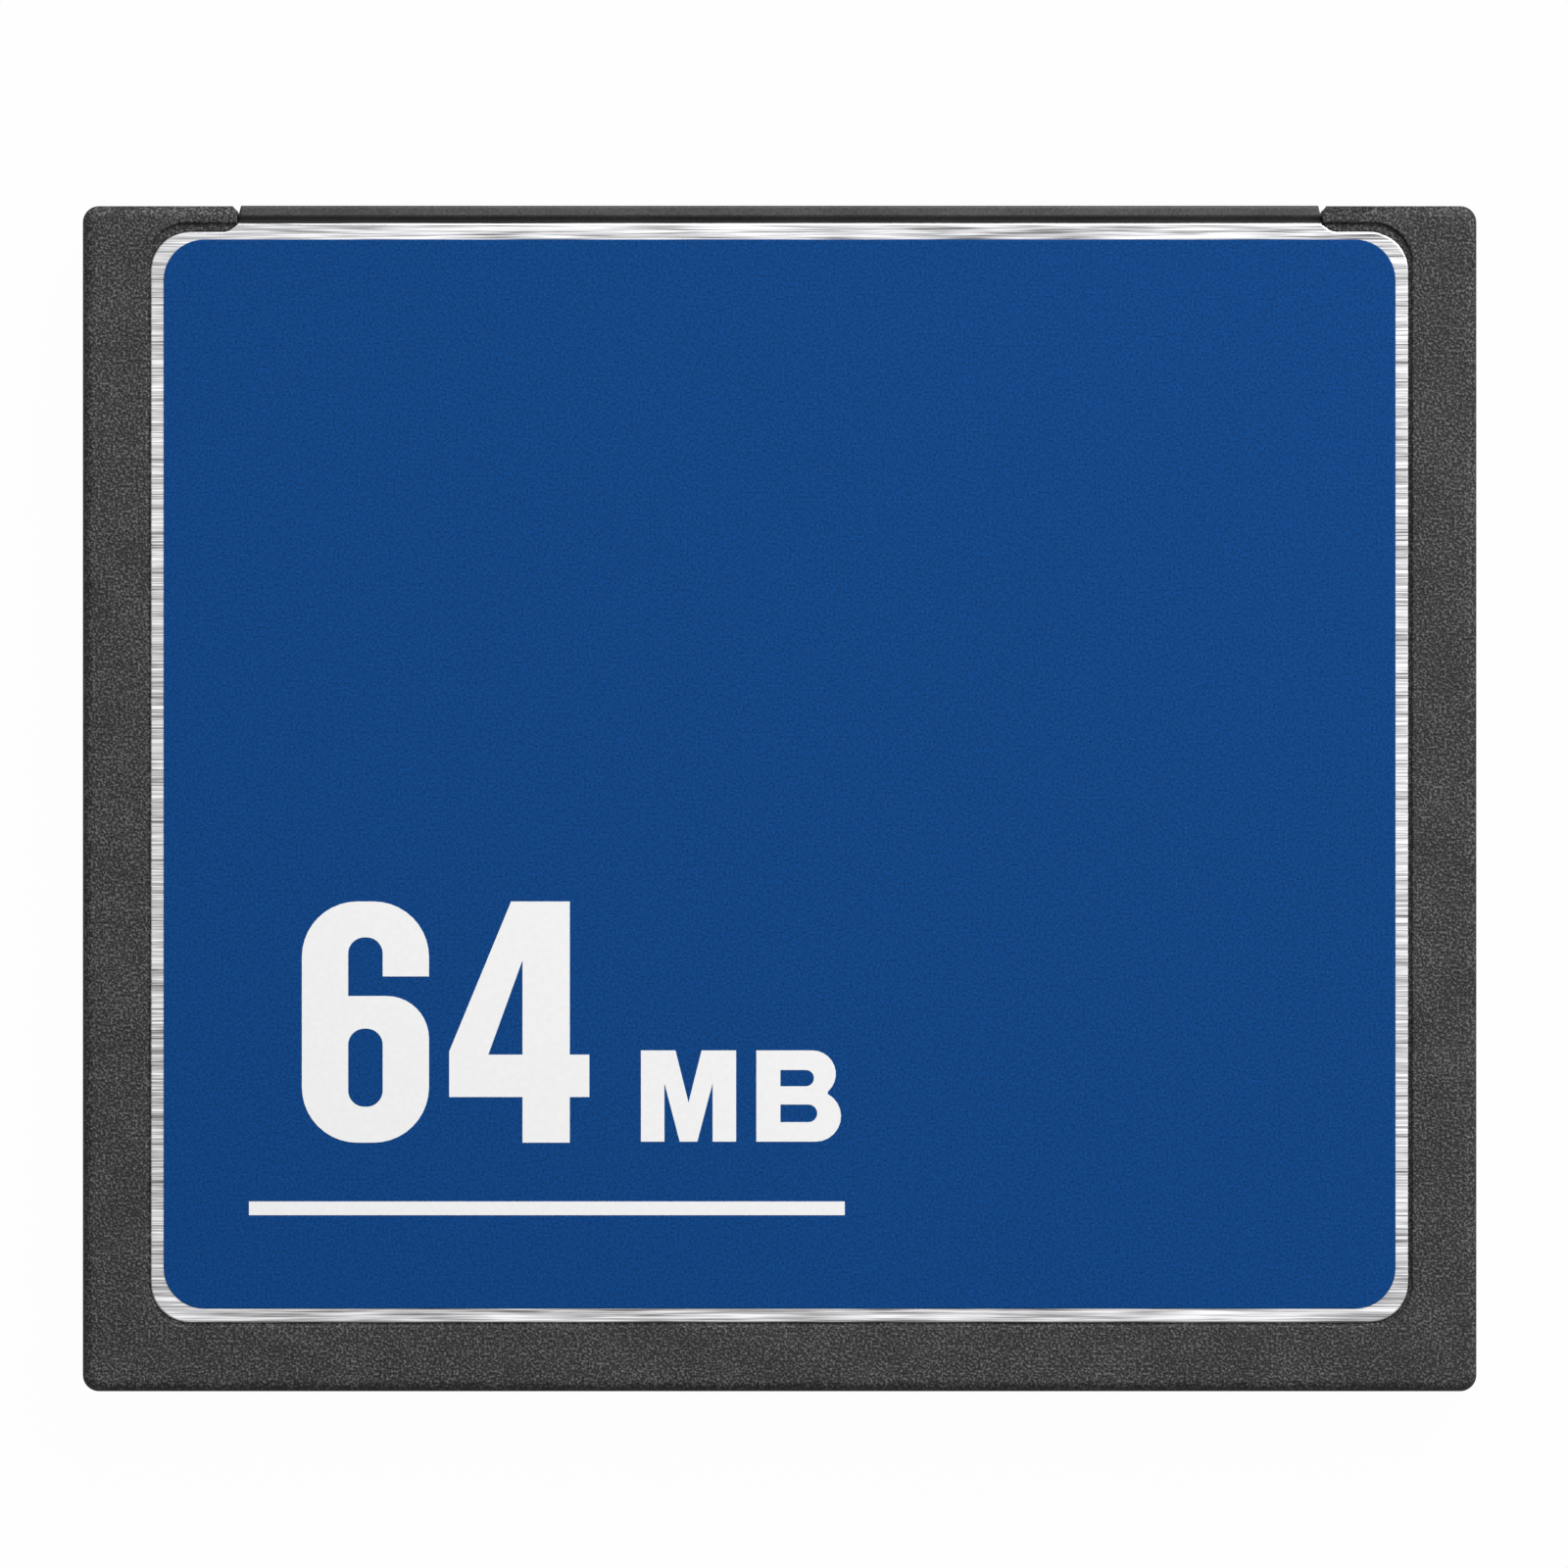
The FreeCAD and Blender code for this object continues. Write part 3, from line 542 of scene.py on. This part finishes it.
def letterB(width, stem, lowerBowl, lowerEnd, upperBowl, upperStart, eyes):
    height = upperBowl[1] + upperBowl[2]
    outer = [(0, 0)] + arc(*lowerBowl, -90, lowerEnd) + arc(*upperBowl, upperStart, 90) + [(0, height)]
    inner = [[(stem, y - radius)] + arc(x, y, radius, -90, 90) + [(stem, y + radius)]
             for x, y, radius in eyes]
    return [outer, *inner], width


def dropThinFaces(mesh):                         # the fill leaves some where points lie in one line
    work = bmesh.new()
    work.from_mesh(mesh)
    thin = [face for face in work.faces if face.calc_area() < ink["leastArea"]]
    longest = [max(face.edges, key=lambda edge: edge.calc_length()) for face in thin]
    bmesh.ops.dissolve_edges(work, edges=list(dict.fromkeys(longest)), use_verts=False)
    work.to_mesh(mesh)
    work.free()


def inkPlate(name, shapes):                      # shapes of (loops, left, base), on the card
    curve = bpy.data.curves.new(name, "CURVE")
    curve.dimensions = "2D"
    curve.fill_mode = "BOTH"
    curve.extrude = ink["thickness"] / 2
    for loops, left, base in shapes:
        for loop in loops:
            spline = curve.splines.new("POLY")
            spline.points.add(len(loop) - 1)
            spline.use_cyclic_u = True
            for point, (x, y) in zip(spline.points, loop):
                point.co = (left + x, base + y, 0, 1)
    source = bpy.data.objects.new(name + "Curve", curve)
    scene.collection.objects.link(source)
    mesh = plainMesh(source, name)
    dropThinFaces(mesh)
    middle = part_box("label")[1].z + ink["thickness"] * mm / 2
    mesh.transform(Matrix.Translation((0, 0, middle)) @ Matrix.Scale(mm, 4))
    addToCard(meshObject(name, mesh, printInk), "label_film")


def lineUp(glyphs, left, base):
    shapes = []
    for loops, width in glyphs:
        shapes.append((loops, left, base))
        left += width + ink["gap"]
    return shapes


inkPlate("capacityFigure", lineUp([figureSix(**six), figureFour(**four)], *onCard(*printAt["figure"])))
inkPlate("capacityUnit", lineUp([letterM(**capitalM), letterB(**capitalB)], *onCard(*printAt["unit"])))
ruleLeft, ruleTop = onCard(*printAt["ruleTopLeft"])
ruleRight, ruleBase = onCard(*printAt["ruleBottomRight"])
rule = [(ruleLeft, ruleBase), (ruleRight, ruleBase), (ruleRight, ruleTop), (ruleLeft, ruleTop)]
inkPlate("labelRule", [([rule], 0, 0)])
print("label printed")


# Inside: finishes for what the shell hides

inside = [
    (boardGreen, ["circuit_board"]),
    (chipResin, ["memory_chip", "controller_chip", "regulator"]),
    (leadTin, ["memory_chip_leads", "controller_chip_leads", "regulator_leads", "crystal_lid"]),
    (firedCeramic, ["crystal_base", "ceramic_capacitors", "chip_resistors", "resistor_networks"]),
    (amberFilm, ["upper_insulator", "lower_insulator"]),
]
for finish, hidden in inside:
    for node in hidden:
        slots = nodes[node].data.materials
        slots.clear()
        slots.append(finish)
print("inside finished")


# Studio: pale floor, soft light from the upper right, camera straight down

white = (1, 1, 1, 1)
floor = {"size": 6.0, "drop": 0.02 * mm, "colour": (0.55, 0.55, 0.55, 1), "rough": 0.9, "gloss": 0.1,
         "forView": 0.98, "forMetal": 0.12}
sky = {"side": (0.35, 0.45, 0.82), "glowFrom": 0.15, "glowFull": 0.76, "low": 0.1, "high": 1.0,
       "forDiffuse": 0.26, "forMetal": 0.45}
lamp = {"place": (0.13, 0.22, 0.21), "size": 0.32, "watts": 1.65}
view = {"lens": 250.0, "sensor": 36.0, "nearest": 0.01}


def paleFloor():                                 # white to the camera, but not in the light it gives back
    half = floor["size"] / 2
    drop = -floor["drop"]
    corners = [(-half, -half, drop), (half, -half, drop), (half, half, drop), (-half, half, drop)]
    mesh = bpy.data.meshes.new("paleFloor")
    mesh.from_pydata(corners, [], [(0, 1, 2, 3)])
    finish = Finish("paleFloor")
    ground = finish.principled(Base_Color=floor["colour"], Roughness=floor["rough"],
                               Specular_IOR_Level=floor["gloss"])
    glowing = finish.node("ShaderNodeEmission", {}, {"Color": white, "Strength": 1.0})
    onCamera, onMetal = finish.rays()
    share = onCamera * floor["forView"] + onMetal * floor["forMetal"]
    blend = finish.node("ShaderNodeMixShader", {}, {0: share, 1: ground, 2: glowing})
    finish.node("ShaderNodeOutputMaterial", {}, {"Surface": blend})
    meshObject("paleFloor", mesh, finish.material)


def softSky():                                   # brighter on the key lamp's side, white to the camera
    world = bpy.data.worlds.new("softSky")
    world.use_nodes = True
    scene.world = world
    graph = Graph(world.node_tree)
    direction = graph.node("ShaderNodeTexCoord", {}, {}, "Generated")
    facing = graph.node("ShaderNodeVectorMath", {"operation": "DOT_PRODUCT"}, {0: direction, 1: sky["side"]},
                        "Value")
    glow = graph.node("ShaderNodeMapRange", {"interpolation_type": "SMOOTHSTEP"},
                      {"Value": facing, "From Min": sky["glowFrom"], "From Max": sky["glowFull"],
                       "To Min": sky["low"], "To Max": sky["high"]})
    onCamera, onMetal = graph.rays()
    shine = onMetal * ((1 - sky["forDiffuse"]) * glow + sky["forMetal"] * (1 - glow))
    level = onCamera + (1 - onCamera) * (sky["forDiffuse"] * glow + shine)
    back = graph.node("ShaderNodeBackground", {}, {"Color": white, "Strength": level})
    graph.node("ShaderNodeOutputWorld", {}, {"Surface": back})


def keyLamp():
    light = bpy.data.lights.new("keyLamp", "AREA")
    light.shape = "DISK"
    light.size = lamp["size"]
    light.energy = lamp["watts"]
    holder = bpy.data.objects.new("keyLamp", light)
    scene.collection.objects.link(holder)
    holder.location = lamp["place"]
    holder.rotation_euler = (-holder.location).to_track_quat("-Z", "Y").to_euler()   # aimed at the card
    holder.visible_camera = False


def photoCamera():
    lens = bpy.data.cameras.new("photoCamera")
    lens.lens = view["lens"]
    lens.sensor_width = view["sensor"]
    lens.clip_start = view["nearest"]
    camera = bpy.data.objects.new("photoCamera", lens)
    scene.collection.objects.link(camera)
    x, y = onCard(photo["size"] / 2, photo["size"] / 2)
    across = photo["size"] / photo["pixelsPerMillimetre"] * mm
    height = cadBox[1][2] + across * view["lens"] / view["sensor"]
    camera.location = (x * mm, y * mm, height)
    scene.camera = camera


paleFloor()
softSky()
keyLamp()
photoCamera()
scene.view_settings.view_transform = "Standard"
print("studio ready")
